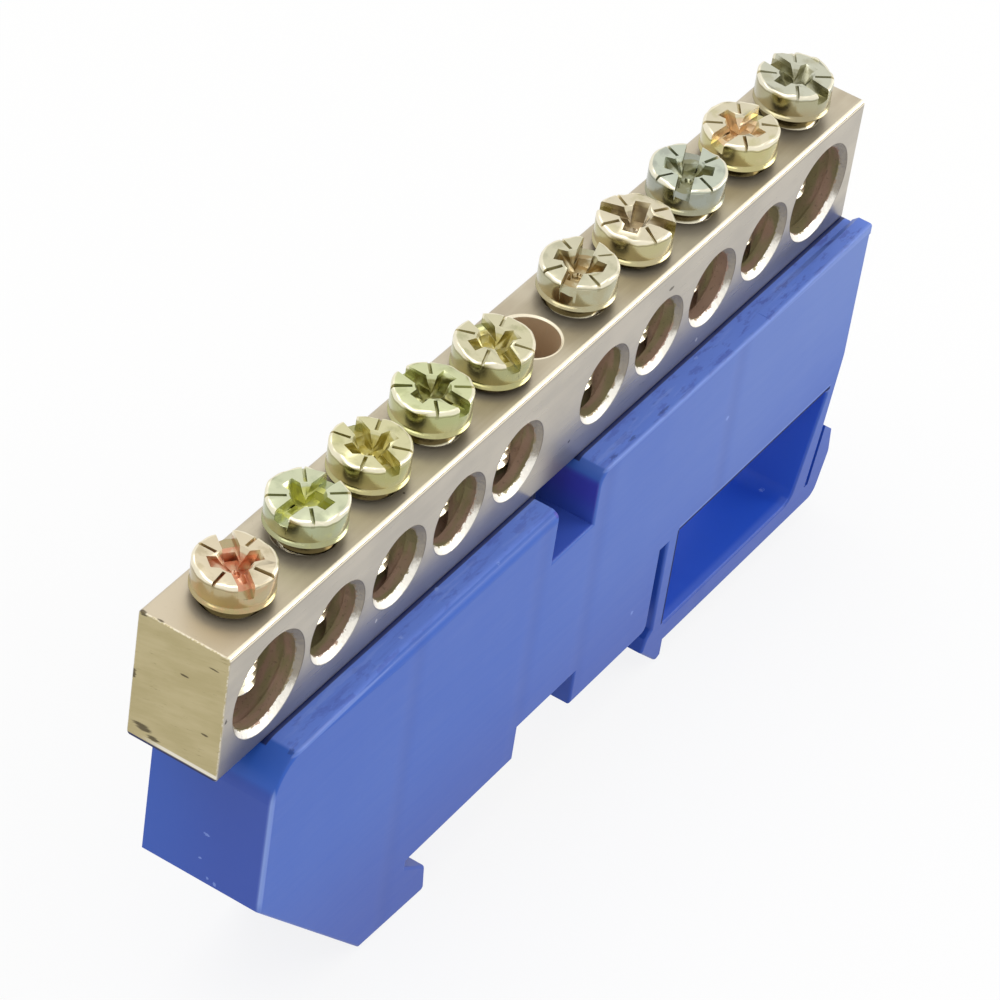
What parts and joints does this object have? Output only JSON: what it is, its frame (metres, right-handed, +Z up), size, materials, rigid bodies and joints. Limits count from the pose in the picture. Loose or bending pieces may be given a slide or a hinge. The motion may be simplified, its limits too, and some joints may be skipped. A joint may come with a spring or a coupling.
{
  "type": "neutral terminal bar",
  "caption": "Brass neutral terminal bar with a row of clamp screws over cross-drilled wire holes, on a blue moulded base that snaps onto a mounting rail.",
  "frame": {"origin": "middle of the 35 mm rail on the plane that the base seats on, below the middle of the bar's width", "axes": "+X along the bar towards the spring foot, +Y along the rail away from the side that shows the wire holes' row, +Z up from the rail towards the clamp screws"},
  "size_m": [0.0896, 0.0106, 0.0466],
  "materials": {
    "bar_brass": "drawn, matt, with sawn ends",
    "base_nylon": "moulded, slightly satin",
    "fixing_plating": "yellow zinc plating",
    "screw_plating_01": "yellow zinc plating with a rainbow tint",
    "screw_plating_02": "yellow zinc plating with a rainbow tint",
    "screw_plating_03": "yellow zinc plating with a rainbow tint",
    "screw_plating_04": "yellow zinc plating with a rainbow tint",
    "screw_plating_05": "yellow zinc plating with a rainbow tint",
    "screw_plating_06": "yellow zinc plating with a rainbow tint",
    "screw_plating_07": "yellow zinc plating with a rainbow tint",
    "screw_plating_08": "yellow zinc plating with a rainbow tint",
    "screw_plating_09": "yellow zinc plating with a rainbow tint",
    "screw_plating_10": "yellow zinc plating with a rainbow tint"
  },
  "bodies": {
    "bar_and_base": {"terminal_bar": "bar_brass", "rail_base": "base_nylon", "fixing_screw": "fixing_plating"},
    "clamp_screw_01": {"clamp_screw_01": "screw_plating_01"},
    "clamp_screw_02": {"clamp_screw_02": "screw_plating_02"},
    "clamp_screw_03": {"clamp_screw_03": "screw_plating_03"},
    "clamp_screw_04": {"clamp_screw_04": "screw_plating_04"},
    "clamp_screw_05": {"clamp_screw_05": "screw_plating_05"},
    "clamp_screw_06": {"clamp_screw_06": "screw_plating_06"},
    "clamp_screw_07": {"clamp_screw_07": "screw_plating_07"},
    "clamp_screw_08": {"clamp_screw_08": "screw_plating_08"},
    "clamp_screw_09": {"clamp_screw_09": "screw_plating_09"},
    "clamp_screw_10": {"clamp_screw_10": "screw_plating_10"}
  },
  "joints": [
    {"name": "clamp_screw_01_travel", "type": "slide", "parent": "bar_and_base", "child": "clamp_screw_01", "axis": [0, 0, 1], "range_m": [-0.00085, 0.00598]},
    {"name": "clamp_screw_02_travel", "type": "slide", "parent": "bar_and_base", "child": "clamp_screw_02", "axis": [0, 0, 1], "range_m": [-0.00105, 0.00483]},
    {"name": "clamp_screw_03_travel", "type": "slide", "parent": "bar_and_base", "child": "clamp_screw_03", "axis": [0, 0, 1], "range_m": [-0.00085, 0.00503]},
    {"name": "clamp_screw_04_travel", "type": "slide", "parent": "bar_and_base", "child": "clamp_screw_04", "axis": [0, 0, 1], "range_m": [-0.0011, 0.00478]},
    {"name": "clamp_screw_05_travel", "type": "slide", "parent": "bar_and_base", "child": "clamp_screw_05", "axis": [0, 0, 1], "range_m": [-0.0005, 0.00538]},
    {"name": "clamp_screw_06_travel", "type": "slide", "parent": "bar_and_base", "child": "clamp_screw_06", "axis": [0, 0, 1], "range_m": [-0.00095, 0.00493]},
    {"name": "clamp_screw_07_travel", "type": "slide", "parent": "bar_and_base", "child": "clamp_screw_07", "axis": [0, 0, 1], "range_m": [-0.00055, 0.00533]},
    {"name": "clamp_screw_08_travel", "type": "slide", "parent": "bar_and_base", "child": "clamp_screw_08", "axis": [0, 0, 1], "range_m": [-0.0011, 0.00478]},
    {"name": "clamp_screw_09_travel", "type": "slide", "parent": "bar_and_base", "child": "clamp_screw_09", "axis": [0, 0, 1], "range_m": [-0.0008, 0.00508]},
    {"name": "clamp_screw_10_travel", "type": "slide", "parent": "bar_and_base", "child": "clamp_screw_10", "axis": [0, 0, 1], "range_m": [-0.00115, 0.00568]}
  ]
}
